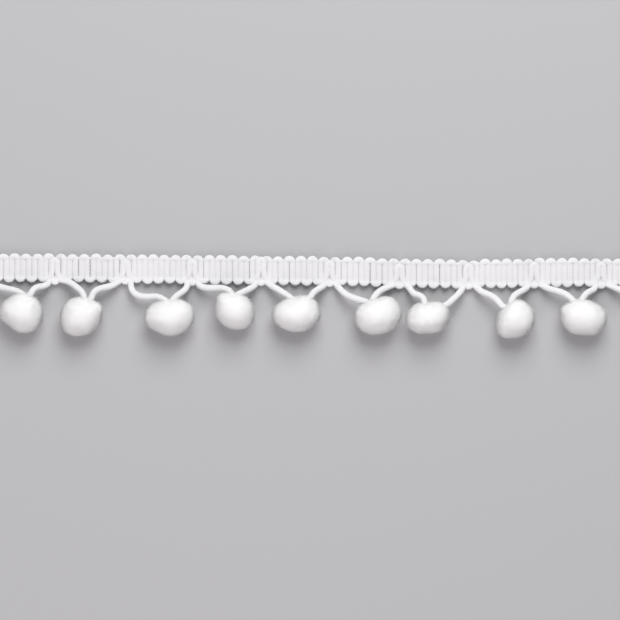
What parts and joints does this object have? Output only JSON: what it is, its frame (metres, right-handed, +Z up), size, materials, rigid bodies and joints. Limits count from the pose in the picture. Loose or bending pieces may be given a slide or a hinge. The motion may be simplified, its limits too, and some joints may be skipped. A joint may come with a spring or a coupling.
{
  "type": "pompom fringe trim",
  "caption": "Cut length of sewing trim: a looped gimp cord heading with fluffy pompoms hanging from a soft cord laid in loops on it.",
  "frame": {"origin": "on the surface that the trim lies on, under the middle of its bounding box", "axes": "+X along the trim, +Y across it from the pompoms to the heading, +Z up from the surface, towards the trim's face"},
  "size_m": [0.204, 0.0238, 0.01],
  "materials": {
    "heading_cord": "soft matte white gimp cord",
    "drop_cord": "soft matte white chenille cord",
    "pompom": "fluffy white pile"
  },
  "bodies": {
    "root": {"heading": "heading_cord", "drop_cord_01": "drop_cord", "drop_cord_02": "drop_cord", "drop_cord_03": "drop_cord", "drop_cord_04": "drop_cord", "drop_cord_05": "drop_cord", "drop_cord_06": "drop_cord", "drop_cord_07": "drop_cord", "drop_cord_08": "drop_cord", "drop_cord_09": "drop_cord", "drop_cord_10": "drop_cord", "drop_cord_11": "drop_cord", "pompom_01": "pompom", "pompom_02": "pompom", "pompom_03": "pompom", "pompom_04": "pompom", "pompom_05": "pompom", "pompom_06": "pompom", "pompom_07": "pompom", "pompom_08": "pompom", "pompom_09": "pompom", "pompom_10": "pompom"}
  },
  "joints": []
}
